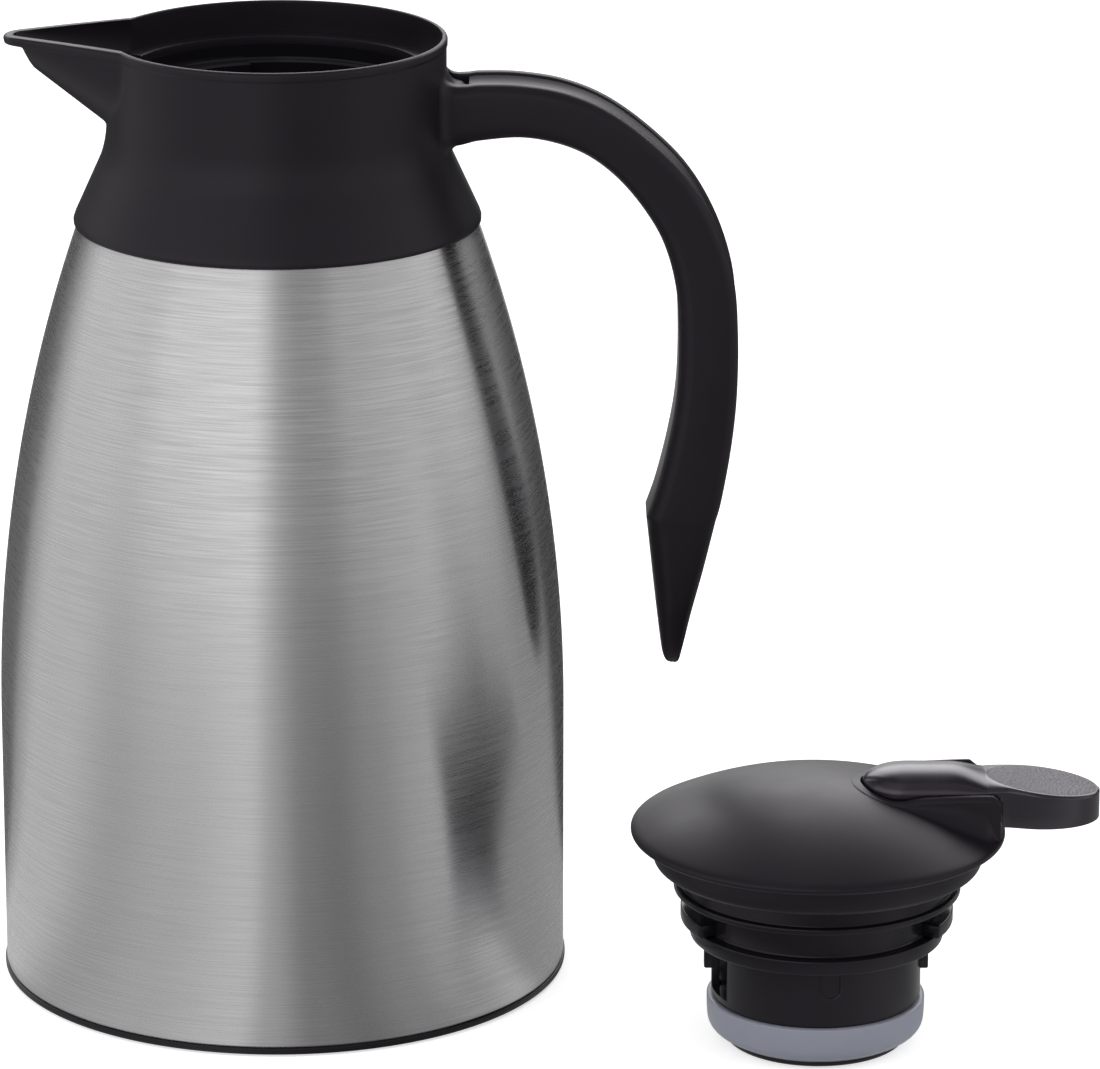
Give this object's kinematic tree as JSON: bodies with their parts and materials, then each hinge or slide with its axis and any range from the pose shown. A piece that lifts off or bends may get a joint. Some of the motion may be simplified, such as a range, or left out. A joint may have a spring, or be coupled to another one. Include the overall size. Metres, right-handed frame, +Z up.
{
  "type": "thermal carafe",
  "caption": "Double-walled steel carafe with a spouted collar and open handle, and its screw-in stopper lid with a thumb lever, standing beside it.",
  "frame": {"origin": "centre of the carafe's base, on the surface it stands on", "axes": "+Z up along the carafe's axis, +X towards the handle, -X towards the spout"},
  "size_m": [0.2514, 0.1596, 0.2211],
  "materials": {
    "brushed_steel": "brushed round the body",
    "plain_steel": "plain drawn steel",
    "black_satin": "satin, fine moulded texture",
    "black_gloss": "gloss",
    "silicone": "translucent satin"
  },
  "bodies": {
    "carafe": {"outer_shell": "brushed_steel", "shell_base": "plain_steel", "port_seal": "plain_steel", "inner_liner": "plain_steel", "getter": "plain_steel", "base_cover": "black_satin", "collar": "black_satin", "neck_ring": "black_gloss", "neck_gasket": "silicone", "handle": "black_satin", "handle_cover": "black_satin", "handle_screws": "plain_steel"},
    "lid": {"stopper_body": "black_gloss", "lid_skirt": "black_satin", "lid_dome": "black_satin", "seal_retainer": "black_gloss", "neck_seal": "silicone", "lever_pin": "plain_steel", "valve_spring": "plain_steel", "stem_seal": "silicone"},
    "lever": {"thumb_lever": "black_satin"},
    "valve": {"valve_stem": "plain_steel", "stem_cap": "black_gloss", "valve_poppet": "black_gloss", "poppet_gasket": "silicone"}
  },
  "joints": [
    {"name": "lid_lift", "type": "slide", "parent": "carafe", "child": "lid", "axis": [0, 0, 1], "range_m": [0, 0.24]},
    {"name": "lever_press", "type": "hinge", "parent": "lid", "child": "lever", "pos_m": [0.1522, -0.0518, 0.0555], "axis": [0, 1, 0], "range_deg": [0, 8], "stiffness_Nm_per_rad": 0.3, "springref_deg": -11.46},
    {"name": "valve_lift", "type": "slide", "parent": "lid", "child": "valve", "axis": [0, 0, 1], "range_m": [0, 0.0042], "deforming": ["valve_spring"]}
  ],
  "couplings": [
    {"joint": "valve_lift", "follows": "lever_press", "m_per_rad": 0.03}
  ]
}
